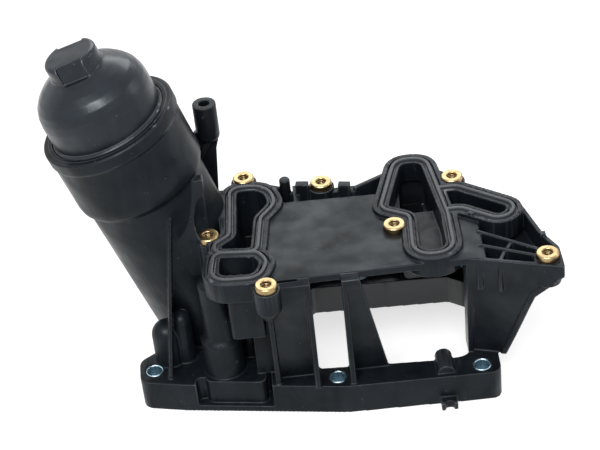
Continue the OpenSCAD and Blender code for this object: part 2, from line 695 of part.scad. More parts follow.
module bolt_sleeve(k) color([0.35, 0.55, 0.68]) difference() {
    post(sleeves[k], sleeve_od / 2, 0, flange_t + sleeve_stand);
    post(sleeves[k], sleeve_bore / 2, -1, flange_t + sleeve_stand + 1);
}

housing();
filter_cap();
cap_seal_ring();
filter_paper();
filter_top_disc();
filter_foot_disc();
support_tube();
oil_gasket();
coolant_gasket();
bypass_piston();
bypass_spring();
bypass_plug();
return_seat();
return_piston();
return_spring();
port_seal_1();
port_seal_2();
port_seal_3();
brass_insert(0);  // brass_insert_1
brass_insert(1);  // brass_insert_2
brass_insert(2);  // brass_insert_3
brass_insert(3);  // brass_insert_4
brass_insert(4);  // brass_insert_5
brass_insert(5);  // brass_insert_6
brass_insert(6);  // brass_insert_7
bolt_sleeve(0);  // bolt_sleeve_1
bolt_sleeve(1);  // bolt_sleeve_2
bolt_sleeve(2);  // bolt_sleeve_3
bolt_sleeve(3);  // bolt_sleeve_4
bolt_sleeve(4);  // bolt_sleeve_5
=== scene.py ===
# %% [markdown]
# An oil filter housing is one large moulding of glass-filled nylon with a few
# metal parts in it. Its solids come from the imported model, so the lesson starts
# by loading them, and everything after this gives them edges, finishes and light.

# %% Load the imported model
import math
import bmesh
import bpy
from mathutils import Matrix, Vector


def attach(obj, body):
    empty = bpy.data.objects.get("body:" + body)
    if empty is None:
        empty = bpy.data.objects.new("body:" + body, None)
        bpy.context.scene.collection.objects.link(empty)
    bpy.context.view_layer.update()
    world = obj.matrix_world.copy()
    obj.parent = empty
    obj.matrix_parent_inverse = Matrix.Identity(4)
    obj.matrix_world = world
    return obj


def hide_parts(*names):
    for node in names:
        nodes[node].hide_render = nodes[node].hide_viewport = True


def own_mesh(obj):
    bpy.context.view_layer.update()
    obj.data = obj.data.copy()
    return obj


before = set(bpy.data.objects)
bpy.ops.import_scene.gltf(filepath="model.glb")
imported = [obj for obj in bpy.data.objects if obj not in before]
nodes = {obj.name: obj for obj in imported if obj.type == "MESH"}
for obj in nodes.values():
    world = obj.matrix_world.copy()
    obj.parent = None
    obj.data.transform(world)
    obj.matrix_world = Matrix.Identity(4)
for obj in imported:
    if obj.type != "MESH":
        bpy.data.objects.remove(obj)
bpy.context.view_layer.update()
MM = 0.001
print("solids loaded:", len(nodes))

# %% [markdown]
# The camera stands where the photographer stood: in front, looking down by about
# 36 degrees through a long lens, with the picture turned a little clockwise.

# %% Camera
LOOK_DOWN = math.radians(36.2)
PICTURE_ROLL = math.radians(6.5)
lens_mm = 108.0
camera_place = Vector((-12.0, -785.4, 705.9)) * MM

level_right = Vector((1, 0, 0))
level_up = Vector((0, math.sin(LOOK_DOWN), math.cos(LOOK_DOWN)))
picture_right = math.cos(PICTURE_ROLL) * level_right - math.sin(PICTURE_ROLL) * level_up
picture_up = math.sin(PICTURE_ROLL) * level_right + math.cos(PICTURE_ROLL) * level_up
away = picture_up.cross(picture_right)

camera = bpy.data.objects.new("camera", bpy.data.cameras.new("camera"))
bpy.context.collection.objects.link(camera)
turn = Matrix((picture_right, picture_up, -away)).transposed().to_4x4()
camera.matrix_world = Matrix.Translation(camera_place) @ turn
camera.data.sensor_width = 36.0
camera.data.lens = lens_mm
camera.data.clip_start = 0.05
camera.data.clip_end = 20.0
bpy.context.scene.camera = camera
bpy.context.scene.view_settings.view_transform = "Standard"
print("camera looks along", [round(x, 3) for x in away])

# %% [markdown]
# Every piece is added in the same few steps: it gets a name, it rides on one body of the part, and the plain solid it
# stands for is hidden. One helper does that, so no step is forgotten.

# %% Adding a piece
def add_piece(name, mesh, body, slot, *stands_for):
    """Puts a mesh in the scene as a piece of the housing."""
    obj = bpy.data.objects.new(name, mesh)
    bpy.context.collection.objects.link(obj)
    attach(obj, body)
    if stands_for:
        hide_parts(*stands_for)
    return obj


def finished_mesh(obj):
    """The mesh that an object shows once its modifiers have done their work."""
    graph = bpy.context.evaluated_depsgraph_get()
    mesh = bpy.data.meshes.new_from_object(obj.evaluated_get(graph), depsgraph=graph)
    data = obj.data
    bpy.data.objects.remove(obj)
    bpy.data.meshes.remove(data)
    return mesh


# %% [markdown]
# Turned parts, such as a brass insert or a screw cap, are a profile swept round
# an axis. A real edge is never perfectly sharp, so the helper first replaces each
# corner of the profile by a small arc, and the light then finds an edge to catch.

# %% Turned shapes
def rounded(profile, radius, steps=3):
    """A closed profile of (radius, height) points with an arc at each corner."""
    done = []
    for i, (x, y) in enumerate(profile):
        here = Vector((x, y))
        before = Vector(profile[i - 1]) - here
        after = Vector(profile[(i + 1) % len(profile)]) - here
        reach = min(radius, before.length * 0.45, after.length * 0.45)
        if x < 1e-6 or reach < 1e-6 or before.angle(after) > math.radians(168):
            done.append((x, y))
            continue
        a, b = here + before.normalized() * reach, here + after.normalized() * reach
        for k in range(steps + 1):
            t = k / steps
            p = a * (1 - t) ** 2 + here * 2 * t * (1 - t) + b * t ** 2
            done.append((p.x, p.y))
    return done


def turned(profile, place, steps=96):
    """Sweeps a closed profile in millimetres round the Z axis of a placing matrix."""
    bm = bmesh.new()
    rings = []
    for x, y in profile:
        if x < 1e-6:
            rings.append([bm.verts.new((0, 0, y))] * steps)
            continue
        angles = [2 * math.pi * k / steps for k in range(steps)]
        rings.append([bm.verts.new((x * math.cos(a), x * math.sin(a), y)) for a in angles])
    for i, ring in enumerate(rings):
        upper = rings[(i + 1) % len(rings)]
        for k in range(steps):
            n = (k + 1) % steps
            corners = []
            for v in (ring[k], ring[n], upper[n], upper[k]):
                if v not in corners:
                    corners.append(v)
            if len(corners) > 2:
                bm.faces.new(corners)
    bmesh.ops.recalc_face_normals(bm, faces=bm.faces)
    bmesh.ops.transform(bm, matrix=place @ Matrix.Scale(MM, 4), verts=bm.verts)
    for face in bm.faces:
        face.smooth = True
    mesh = bpy.data.meshes.new("turned")
    bm.to_mesh(mesh)
    bm.free()
    return mesh


def upright(x, y, z=0.0):
    """A placing matrix for something that stands on the plan point x, y."""
    return Matrix.Translation(Vector((x, y, z)) * MM)


print("helpers for turned shapes are ready")

# %% [markdown]
# The bowl and its cap lean 17.6 degrees to the left. One matrix holds that lean, so the bowl's skin, its collar and
# the cap are drawn upright and placed once.

# %% The leaning axis
BOWL_LEAN = math.radians(17.6)
FLANGE_TOP = 20.0
bowl_place = upright(-66.8, 72.8, FLANGE_TOP) @ Matrix.Rotation(-BOWL_LEAN, 4, "Y")
print("bowl axis", [round(x, 3) for x in (bowl_place.to_3x3() @ Vector((0, 0, 1)))])

# %% [markdown]
# Finishes share a few effects. Moulded nylon has a fine even grain from the spark-eroded mould, a cloudy tone where
# the glass fibres lie differently, and edges that are polished by handling and lightened by a painted highlight. Each
# effect is a node group that puts out a value, and each material decides how much of it to use.

# %% Node group helpers
def new_group(name, inputs, outputs):
    """An empty shader node group with named float inputs and outputs."""
    group = bpy.data.node_groups.new(name, "ShaderNodeTree")
    for label, start in inputs.items():
        socket = group.interface.new_socket(label, in_out="INPUT", socket_type="NodeSocketFloat")
        socket.default_value = start
    for label in outputs:
        group.interface.new_socket(label, in_out="OUTPUT", socket_type="NodeSocketFloat")
    return group, group.nodes.new("NodeGroupInput"), group.nodes.new("NodeGroupOutput")


def node(tree, kind, values=None, **settings):
    """Adds a node, sets its properties, and fills or links its inputs."""
    made = tree.nodes.new(kind)
    for key, value in settings.items():
        setattr(made, key, value)
    for key, value in (values or {}).items():
        if isinstance(value, bpy.types.NodeSocket):
            tree.links.new(value, made.inputs[key])
        else:
            made.inputs[key].default_value = value
    return made


def sums(tree, operation, *values):
    """A Math node on two or three values."""
    made = node(tree, "ShaderNodeMath", dict(enumerate(values)), operation=operation)
    return made.outputs[0]


def spread(tree, value, low, high, to_low=0.0, to_high=1.0):
    """Stretches one range of a value onto another, and clamps it."""
    values = {"Value": value, "From Min": low, "From Max": high, "To Min": to_low, "To Max": to_high}
    return node(tree, "ShaderNodeMapRange", values).outputs["Result"]


# %% [markdown]
# The grain is a fine noise. Its size is in the object's own metres, so it stays
# the right scale on a large wall and on a small boss.

# %% Grain and cloud groups
def noise(tree, coordinates, size_mm, detail=2.0, rough=0.5):
    """A noise value with blotches of about the given size."""
    values = {"Vector": coordinates, "Scale": 1000.0 / size_mm, "Detail": detail, "Roughness": rough}
    return node(tree, "ShaderNodeTexNoise", values).outputs[0]


grain_group, grain_in, grain_out = new_group("moulded grain", {"Strength": 1.0}, ["Height"])
grain_place = node(grain_group, "ShaderNodeTexCoord").outputs["Object"]
fine = noise(grain_group, grain_place, 0.55, 3.0)
coarse = noise(grain_group, grain_place, 2.6, 2.0)
both = sums(grain_group, "MULTIPLY_ADD", coarse, 0.5, fine)
grain_group.links.new(sums(grain_group, "MULTIPLY", both, grain_in.outputs["Strength"]), grain_out.inputs["Height"])

cloud_group, cloud_in, cloud_out = new_group("cloudy tone", {"Contrast": 1.0}, ["Tone", "Specks", "Sink"])
cloud_place = node(cloud_group, "ShaderNodeTexCoord").outputs["Object"]
broad = noise(cloud_group, cloud_place, 34.0, 3.0, 0.55)
streak_place = node(cloud_group, "ShaderNodeMapping", {"Vector": cloud_place, "Scale": (1.0, 1.0, 0.25)}).outputs[0]
streaks = noise(cloud_group, streak_place, 9.0, 2.0)
mixed = sums(cloud_group, "MULTIPLY_ADD", streaks, 0.35, sums(cloud_group, "MULTIPLY", broad, 0.65))
centred = sums(cloud_group, "MULTIPLY", sums(cloud_group, "SUBTRACT", mixed, 0.5), cloud_in.outputs["Contrast"])
cloud_group.links.new(sums(cloud_group, "ADD", centred, 0.5), cloud_out.inputs["Tone"])
specks = spread(cloud_group, noise(cloud_group, cloud_place, 1.7, 1.0), 0.74, 0.80)
cloud_group.links.new(specks, cloud_out.inputs["Specks"])
cloud_group.links.new(noise(cloud_group, cloud_place, 19.0, 1.0), cloud_out.inputs["Sink"])
print("grain and cloud groups are ready")

# %% [markdown]
# A mask of edges comes from comparing the surface's own normal with a normal that the Bevel node has softened. They
# differ only near an edge, and the difference grows towards it. On a mesh whose edges are already round, Pointiness
# finds their crown. Hollows are found with ambient occlusion, and the materials darken them as painted shade.

# %% Edge and hollow groups
edge_group, edge_in, edge_out = new_group("edge mask", {"Gain": 6.0}, ["Edge"])
surface = node(edge_group, "ShaderNodeNewGeometry").outputs
soft_normal = node(edge_group, "ShaderNodeBevel", {"Radius": 0.0009}, samples=6).outputs[0]
agree = node(edge_group, "ShaderNodeVectorMath", {0: soft_normal, 1: surface["Normal"]}, operation="DOT_PRODUCT")
differ = sums(edge_group, "SUBTRACT", 1.0, agree.outputs["Value"])
near = sums(edge_group, "MULTIPLY", differ, edge_in.outputs["Gain"])
ridge = spread(edge_group, surface["Pointiness"], 0.525, 0.62)
edge_group.links.new(
    node(edge_group, "ShaderNodeClamp", {0: sums(edge_group, "MAXIMUM", near, ridge)}).outputs[0],
    edge_out.inputs["Edge"])

hollow_group, hollow_in, hollow_out = new_group("hollow mask", {"Reach": 0.006}, ["Hollow"])
open_share = node(hollow_group, "ShaderNodeAmbientOcclusion", {"Distance": hollow_in.outputs["Reach"]}, samples=6)
hollow_group.links.new(sums(hollow_group, "SUBTRACT", 1.0, open_share.outputs["AO"]), hollow_out.inputs["Hollow"])
print("edge and hollow groups are ready")


# %% [markdown]
# A material is always a Principled shader, with its plain numbers set on its own
# sockets. The masks only steer colour, roughness and bump.

# %% Material helper
def new_material(name, roughness, **plain):
    """A node material with one Principled shader; plain values go on its sockets."""
    made = bpy.data.materials.new(name)
    made.use_nodes = True
    tree = made.node_tree
    tree.nodes.clear()
    shader = node(tree, "ShaderNodeBsdfPrincipled", {"Roughness": roughness})
    for key, value in plain.items():
        shader.inputs[key.replace("_", " ")].default_value = value
    out = node(tree, "ShaderNodeOutputMaterial")
    tree.links.new(shader.outputs[0], out.inputs["Surface"])
    return made, tree, shader


def use(tree, group, **inputs):
    """Places a node group in a material with its own values."""
    made = node(tree, "ShaderNodeGroup", node_tree=group)
    for key, value in inputs.items():
        made.inputs[key].default_value = value
    return made


def blend(tree, mask, low, high):
    """Mixes two colours, or two results, by a mask."""
    values = {"Factor": mask, "A": low, "B": high}
    made = tree.nodes.new("ShaderNodeMix")
    made.data_type = "RGBA"
    for name, value in values.items():
        socket = [s for s in made.inputs if s.name == name and s.type == ("VALUE" if name == "Factor" else "RGBA")][0]
        if isinstance(value, bpy.types.NodeSocket):
            tree.links.new(value, socket)
        else:
            socket.default_value = value
    return [s for s in made.outputs if s.type == "RGBA"][0]


def bump(tree, height, distance_mm, strength=1.0):
    """A Bump node whose depth is in millimetres."""
    values = {"Height": height, "Distance": distance_mm * MM, "Strength": strength}
    return node(tree, "ShaderNodeBump", values).outputs[0]


# %% [markdown]
# The housing is black nylon with glass fibre. It is a satin charcoal, a little blue, cloudy on the bowl, with a
# painted highlight along its edges.

# %% Moulded nylon
def inner_wall(tree):
    """One on the inner faces at the rear, where the mould's core was polished."""
    place = node(tree, "ShaderNodeTexCoord").outputs["Object"]
    parts = node(tree, "ShaderNodeSeparateXYZ", {"Vector": place}).outputs
    normal = node(tree, "ShaderNodeNewGeometry").outputs["Normal"]
    facing = node(tree, "ShaderNodeSeparateXYZ", {"Vector": normal}).outputs
    level = spread(tree, parts["Z"], 0.088, 0.084)
    behind = sums(tree, "MULTIPLY", spread(tree, parts["Y"], 0.072, 0.076), spread(tree, parts["X"], -0.038, -0.034))
    return sums(tree, "MULTIPLY", sums(tree, "MULTIPLY", level, behind), spread(tree, facing["Y"], -0.4, -0.8))


def moulded_nylon(name, dark, light, specks_and_highlight_colour, roughness, grain=0.02, specular=0.2, sink=1.5, polished=None):
    """Satin black nylon with grain, shallow sink marks, cloudy tone, painted shade in its hollows and a painted
    highlight on its edges.
    """
    made, tree, shader = new_material(name, roughness, Specular_IOR_Level=specular, Specular_Tint=(0.88, 0.96, 1.0, 1))
    tone = use(tree, cloud_group, Contrast=3.2)
    edge = use(tree, edge_group, Gain=5.0).outputs["Edge"]
    hollow = use(tree, hollow_group, Reach=0.007).outputs["Hollow"]
    cloud = node(tree, "ShaderNodeClamp", {0: tone.outputs["Tone"]}).outputs[0]
    body = blend(tree, cloud, dark, light)
    # painted shade: hollows are darkened towards near black
    shaded = blend(tree, sums(tree, "MULTIPLY", hollow, 0.6), body, (0.001, 0.001, 0.001, 1))
    speckled = blend(tree, sums(tree, "MULTIPLY", tone.outputs["Specks"], 0.25), shaded, specks_and_highlight_colour)
    # painted highlight: edges are lightened towards the specks colour
    highlighted_edges = blend(tree, sums(tree, "MULTIPLY", edge, 0.75), speckled, specks_and_highlight_colour)
    tree.links.new(highlighted_edges, shader.inputs["Base Color"])
    gloss = spread(tree, cloud, 0.0, 1.0, roughness + 0.12, roughness - 0.10)
    tree.links.new(sums(tree, "SUBTRACT", gloss, sums(tree, "MULTIPLY", edge, 0.08)), shader.inputs["Roughness"])
    if polished:
        tree.links.new(polished(tree), shader.inputs["Coat Weight"])
        shader.inputs["Coat Roughness"].default_value = 0.3
    sunk = bump(tree, tone.outputs["Sink"], sink)
    height = use(tree, grain_group, Strength=1.0).outputs["Height"]
    grained = bump(tree, height, grain)
    tree.links.new(sunk, grained.node.inputs["Normal"])
    tree.links.new(grained, shader.inputs["Normal"])
    return made


# the third colour of each is for the random specks and the painted edge highlight
nylon = moulded_nylon("satin black nylon", (0.001, 0.002, 0.003, 1), (0.010, 0.013, 0.017, 1),
                      (0.160, 0.170, 0.190, 1), 0.38, 0.02, 0.165, 1.5, inner_wall)
cap_nylon = moulded_nylon("cap nylon", (0.004, 0.006, 0.009, 1), (0.016, 0.020, 0.027, 1),
                          (0.220, 0.240, 0.270, 1), 0.28, 0.012, 0.34)
print("nylon is ready")

# %% [markdown]
# The two gaskets are rubber: paler than the nylon, without its gloss, with a faint random bloom of dust and a painted
# highlight along the edges of the sealing lip.

# %% Rubber
def moulded_rubber(name, colour, bloom_and_highlight_colour, roughness):
    made, tree, shader = new_material(name, roughness, Specular_IOR_Level=0.28)
    tone = use(tree, cloud_group, Contrast=1.2).outputs["Tone"]
    edge = use(tree, edge_group, Gain=4.0).outputs["Edge"]
    # painted highlight along the edges, mixed with a random bloom of dust
    bloom_and_highlight = sums(tree, "MULTIPLY_ADD", edge, 0.8, sums(tree, "MULTIPLY", tone, 0.3))
    tree.links.new(blend(tree, bloom_and_highlight, colour, bloom_and_highlight_colour), shader.inputs["Base Color"])
    height = use(tree, grain_group, Strength=0.6).outputs["Height"]
    tree.links.new(bump(tree, height, 0.012), shader.inputs["Normal"])
    return made


# the second colour is for the random bloom and the painted edge highlight
rubber = moulded_rubber("gasket rubber", (0.018, 0.020, 0.023, 1), (0.22, 0.235, 0.255, 1), 0.42)
seal_rubber = moulded_rubber("seal rubber", (0.015, 0.015, 0.016, 1), (0.04, 0.04, 0.042, 1), 0.5)
print("rubber is ready")


# %% [markdown]
# Metal parts are turned, so fine rings run round their axis. The rings are a wave
# of the height and of the distance from the axis, found from the piece itself.

# %% Turned metal
def turned_metal(name, colour, tarnish_and_shade_colour, roughness, tarnish=0.25):
    """Metal with fine turning marks, random tarnish spots, and painted shade darkening its hollows."""
    made, tree, shader = new_material(name, roughness, Metallic=1.0)
    place = node(tree, "ShaderNodeTexCoord").outputs["Object"]
    marks = noise(tree, node(tree, "ShaderNodeMapping", {"Vector": place, "Scale": (0.4, 0.4, 5.0)}).outputs[0], 0.7)
    spots = noise(tree, place, 3.2, 3.0, 0.6)
    hollow = use(tree, hollow_group, Reach=0.0025).outputs["Hollow"]
    dirt = sums(tree, "MULTIPLY", spread(tree, spots, 0.45, 0.75), tarnish)
    # random tarnish spots plus painted shade in hollows, both towards the second colour
    tarnish_and_shade_mask = node(tree, "ShaderNodeClamp", {0: sums(tree, "ADD", dirt, sums(tree, "MULTIPLY", hollow, 0.6))}).outputs[0]
    tree.links.new(blend(tree, tarnish_and_shade_mask, colour, tarnish_and_shade_colour), shader.inputs["Base Color"])
    tree.links.new(spread(tree, spots, 0.3, 0.7, roughness - 0.05, roughness + 0.08), shader.inputs["Roughness"])
    tree.links.new(bump(tree, marks, 0.02, 0.6), shader.inputs["Normal"])
    return made


# the second colour of each metal is for its tarnish and the painted shade in its hollows
brass = turned_metal("turned brass", (0.38, 0.28, 0.145, 1), (0.16, 0.10, 0.035, 1), 0.3, 0.35)
zinc = turned_metal("blue zinc", (0.44, 0.58, 0.65, 1), (0.08, 0.14, 0.19, 1), 0.3)
steel = turned_metal("bright steel", (0.60, 0.60, 0.60, 1), (0.2, 0.2, 0.2, 1), 0.28)
print("metals are ready")

# %% [markdown]
# The filter paper is soft yellow fibre, seen only through the bowl's ports, with
# a slight translucency of tone between its fibres.

# %% Paper and moulded discs
paper, paper_tree, paper_shader = new_material("filter paper", 0.9, Specular_IOR_Level=0.2)
paper_place = node(paper_tree, "ShaderNodeTexCoord").outputs["Object"]
fibres = noise(paper_tree, paper_place, 0.8, 4.0, 0.65)
paper_tree.links.new(blend(paper_tree, fibres, (0.42, 0.29, 0.11, 1), (0.72, 0.56, 0.28, 1)),
                     paper_shader.inputs["Base Color"])
paper_tree.links.new(bump(paper_tree, fibres, 0.05), paper_shader.inputs["Normal"])
# its third colour is for the random specks and the painted edge highlight
disc_nylon = moulded_nylon("disc nylon", (0.03, 0.04, 0.045, 1), (0.05, 0.065, 0.07, 1), (0.12, 0.14, 0.15, 1), 0.5)
print("paper and disc nylon are ready")

# %% [markdown]
# The housing is a boolean solid, so its edges are sharp and its corners empty,
# which no mould could make. A copy is wrapped in a fine voxel skin, smoothed a
# little so that edges round off and inside corners fill, and thinned to a mesh
# that the library can carry. A turned sleeve goes into the copy first, because
# the solid's bowl is made of flat strips that a glossy surface would show.

# %% Softened copies of solids
def softened(node_name, voxel_mm, passes, triangles, extra=()):
    """A mesh like the solid's, with the rounded edges and fillets of a moulding."""
    bm = bmesh.new()
    bm.from_mesh(nodes[node_name].data)
    bmesh.ops.remove_doubles(bm, verts=bm.verts, dist=1e-6)
    for mesh in extra:
        bm.from_mesh(mesh)
    joined = bpy.data.meshes.new("joined")
    bm.to_mesh(joined)
    bm.free()
    obj = bpy.data.objects.new("wrap", joined)
    bpy.context.collection.objects.link(obj)
    skin = obj.modifiers.new("skin", "REMESH")
    skin.mode = "VOXEL"
    skin.voxel_size = voxel_mm * MM
    soften = obj.modifiers.new("soften", "SMOOTH")
    soften.factor = 0.5
    soften.iterations = passes
    wrapped = finished_mesh(obj)
    obj = bpy.data.objects.new("thin", wrapped)
    bpy.context.collection.objects.link(obj)
    thin = obj.modifiers.new("thin", "DECIMATE")
    thin.ratio = min(1.0, triangles / (2 * len(wrapped.polygons)))
    mesh = finished_mesh(obj)
    mesh.shade_smooth()
    print(node_name, "softened:", len(mesh.polygons), "faces")
    return mesh


def block(corner, size, turn_degrees):
    """A box from its lowest corner and its size in millimetres, turned round that corner."""
    bm = bmesh.new()
    bmesh.ops.create_cube(bm, size=1.0)
    stretch = Matrix.Diagonal(Vector(size) * MM).to_4x4() @ Matrix.Translation((0.5, 0.5, 0.5))
    bmesh.ops.transform(bm, matrix=upright(*corner) @ Matrix.Rotation(math.radians(turn_degrees), 4, "Z") @ stretch,
                        verts=bm.verts)
    mesh = bpy.data.meshes.new("block")
    bm.to_mesh(mesh)
    bm.free()
    return mesh


def joined_mesh(name, *meshes):
    """Several meshes as one."""
    bm = bmesh.new()
    for mesh in meshes:
        bm.from_mesh(mesh)
    made = bpy.data.meshes.new(name)
    bm.to_mesh(made)
    bm.free()
    return made


tower_skin = turned(rounded([(34.2, 8), (35.6, 107), (36.6, 108.2), (38.5, 110.8), (39, 114.4), (39, 144.6),
                             (39.9, 145.2), (39.9, 151.4), (39.4, 153), (36.6, 153), (36.6, 120), (32.8, 106),
                             (32.8, 8)], 0.4), bowl_place, 160)
arm_post = turned(rounded([(3.2, 138.2), (3.2, 154.0), (6.9, 154.0), (6.9, 132.4), (6.2, 130.5), (3.2, 130.5)], 0.4),
                  upright(-59.3, 97.5), 48)
casing_rib = turned([(15.4, 19), (17.0, 19), (17.0, 20.6), (16.6, 21), (15.8, 21), (15.4, 20.6)], upright(-64.5, 21), 96)
rail_lugs = [block((-12.4, 80, 88), (7.6, 4.6, 13.4), -9), block((12.4, 77, 88), (7, 4.6, 12.2), -12),
             turned([(0, 86), (2.2, 86), (3.2, 87), (3.2, 102.4), (2.6, 103.2), (0, 103.2)], upright(-18.2, 85.6), 32)]
housing_mesh = softened("housing", 0.45, 2, 190000, [tower_skin, arm_post] + rail_lugs)
collar = turned(rounded([(34.65, 150.8), (34.65, 153.3), (36.6, 153.3), (36.9, 153.1), (39.3, 153.1), (40.05, 152.3),
                         (40.05, 146.0), (39.15, 145.0), (38.4, 146.0)], 0.2), bowl_place, 200)
housing_mesh = joined_mesh("housing moulding", housing_mesh, collar)
housing = add_piece("housing_moulding", housing_mesh, "housing", "moulding", "housing")
housing_mesh.materials.append(nylon)

# %% [markdown]
# The gaskets get the same treatment with a finer skin, because their sealing lip
# is only two millimetres wide.

# %% Gaskets
for node_name in ("oil_gasket", "coolant_gasket"):
    mesh = softened(node_name, 0.35, 3, 60000)
    add_piece(node_name + "_moulding", mesh, "housing", "rubber", node_name)
    mesh.materials.append(rubber)

# %% [markdown]
# The screw cap gets a turned skin too, so its dome is smooth. The thread on its
# skirt is a ridge that winds down it, hidden in the bowl's mouth but there when
# the cap is unscrewed.

# %% Thread ridge
def thread_ridge(place, radius, start, turns, pitch, height, width, steps=64):
    """A closed helical ridge round the Z axis of a placing matrix, in millimetres."""
    bm = bmesh.new()
    section = [(0, -width), (height, -width * 0.35), (height, width * 0.35), (0, width)]
    rings = []
    count = int(turns * steps)
    for k in range(count + 1):
        angle = 2 * math.pi * k / steps
        rise = start + pitch * k / steps
        fade = min(1.0, k / 8, (count - k) / 8)
        root = -0.3 if height > 0 else 0.3
        ring = []
        for h, z in section:
            r = radius + (h * fade if h else root)
            ring.append(bm.verts.new((r * math.cos(angle), r * math.sin(angle), rise + z)))
        rings.append(ring)
    for lower, upper in zip(rings, rings[1:]):
        for j in range(4):
            n = (j + 1) % 4
            bm.faces.new((lower[j], lower[n], upper[n], upper[j]))
    bm.faces.new(reversed(rings[0]))
    bm.faces.new(rings[-1])
    bmesh.ops.recalc_face_normals(bm, faces=bm.faces)
    bmesh.ops.transform(bm, matrix=place @ Matrix.Scale(MM, 4), verts=bm.verts)
    for face in bm.faces:
        face.smooth = True
    mesh = bpy.data.meshes.new("ridge")
    bm.to_mesh(mesh)
    bm.free()
    return mesh


# %% Cap
DOME = [(33.1, 168.9), (32.5, 173.5), (30.9, 177.6), (28.0, 181.5), (24.2, 185.0), (19.6, 187.7), (15.5, 189.6)]
cap_skin = turned(rounded([(31.6, 154.4), (32.3, 153.8), (33.1, 153.8)] + DOME + [(14.4, 188.2), (23.2, 184.0),
                           (29.4, 177.0), (31.6, 168.8)], 1.6, 5), bowl_place, 160)
skirt_thread = thread_ridge(bowl_place, 32.5, 127.5, 1.8, 6.0, 0.32, 1.1)
cap_mesh = softened("filter_cap", 0.45, 4, 120000, [cap_skin, skirt_thread])
flange = turned(rounded([(32.0, 150.8), (34.14, 150.8), (34.14, 153.1), (33.4, 153.8), (33.16, 154.5), (32.0, 154.5)],
                        0.15), bowl_place, 200)
cap_mesh = joined_mesh("filter cap", cap_mesh, flange)
add_piece("filter_cap_moulding", cap_mesh, "cap", "cap", "filter_cap")
cap_mesh.materials.append(cap_nylon)

# %% [markdown]
# Brass inserts are turned with a knurl that grips the plastic, a chamfer at each end and a thread. The thread is a
# helical ridge inside the bore. All seven share one shape, which is built again at each place.

# %% Brass inserts
INSERTS = [(-42.4, 97), (3, 83.7), (79.3, 74.7), (41, 34.2), (-65, 43.5), (-34.4, -8.2), (121, -7.9)]
INSERT_TOP, INSERT_FOOT = 100.0, 86.0


def insert_mesh(x, y):
    """One threaded insert at a plan place."""
    profile = [(3.25, INSERT_TOP), (5.7, INSERT_TOP), (6.3, INSERT_TOP - 0.6), (6.3, INSERT_TOP - 3.0),
               (6.3, INSERT_TOP - 4.2), (6.0, INSERT_TOP - 4.5), (6.0, INSERT_TOP - 5.6), (6.3, INSERT_TOP - 5.9),
               (6.3, INSERT_FOOT + 0.6), (5.8, INSERT_FOOT), (3.2, INSERT_FOOT), (2.85, INSERT_FOOT + 0.5),
               (2.85, INSERT_TOP - 0.5)]
    body = turned(rounded(profile, 0.25), upright(x, y), 64)
    ridge = thread_ridge(upright(x, y), 2.85, INSERT_FOOT + 0.8, 12.0, 1.0, -0.26, 0.46, 48)
    return joined_mesh("insert", body, ridge)


for k, (x, y) in enumerate(INSERTS, 1):
    mesh = insert_mesh(x, y)
    mesh.materials.append(brass)
    add_piece(f"brass_insert_{k}_turned", mesh, "housing", "brass", f"brass_insert_{k}")
print("inserts:", len(INSERTS), "of", len(mesh.polygons), "faces")

# %% [markdown]
# The bolt sleeves are rolled from steel strip and plated, so each has a seam down
# its bore and rounded ends.

# %% Bolt sleeves
SLEEVES = [(-106.4, 23.8), (0, 0), (83, -3.4), (87, 92.5), (21, 93.5)]
SLEEVE_TOP = 20.4


def sleeve_mesh(x, y, seam_angle):
    """One rolled sleeve with a narrow seam cut along it."""
    profile = [(4.2, 0.5), (4.7, 0), (4.9, 0), (5.3, 0.4), (5.3, SLEEVE_TOP - 0.4), (4.95, SLEEVE_TOP),
               (4.65, SLEEVE_TOP), (4.2, SLEEVE_TOP - 0.5)]
    mesh = turned(rounded(profile, 0.3), upright(x, y), 72)
    bm = bmesh.new()
    bm.from_mesh(mesh)
    centre = Vector((x, y)) * MM
    for v in bm.verts:
        off = Vector((v.co.x, v.co.y)) - centre
        aside = abs(math.remainder(math.atan2(off.y, off.x) - seam_angle, 2 * math.pi))
        if aside < 0.02 and off.length < 4.75 * MM:
            push = off.normalized() * 0.35 * MM
            v.co.x += push.x
            v.co.y += push.y
    bm.to_mesh(mesh)
    bm.free()
    return mesh


for k, (x, y) in enumerate(SLEEVES, 1):
    mesh = sleeve_mesh(x, y, math.pi / 2)
    mesh.materials.append(zinc)
    add_piece(f"bolt_sleeve_{k}_rolled", mesh, "housing", "zinc", f"bolt_sleeve_{k}")
print("sleeves:", len(SLEEVES), "of", len(mesh.polygons), "faces")

# %% [markdown]
# Each valve spring is a round wire on a helix. Its piston pushes one end.

# %% Valve springs
def spring_mesh(name, centre, radius, wire, low, high, turns=7):
    """A coil of round wire with closed ends between two heights."""
    curve = bpy.data.curves.new(name, "CURVE")
    curve.dimensions = "3D"
    curve.bevel_depth = wire * MM
    curve.bevel_resolution = 4
    curve.use_fill_caps = True
    line = curve.splines.new("POLY")
    count = turns * 40
    line.points.add(count)
    span = high - low - 2 * wire
    for k in range(count + 1):
        angle = 2 * math.pi * k * turns / count
        z = low + wire + span * k / count
        x, y = centre[0] + radius * math.cos(angle), centre[1] + radius * math.sin(angle)
        line.points[k].co = (x * MM, y * MM, z * MM, 1)
    obj = bpy.data.objects.new(name, curve)
    bpy.context.collection.objects.link(obj)
    mesh = bpy.data.meshes.new_from_object(obj)
    bpy.data.objects.remove(obj)
    bpy.data.curves.remove(curve)
    return mesh


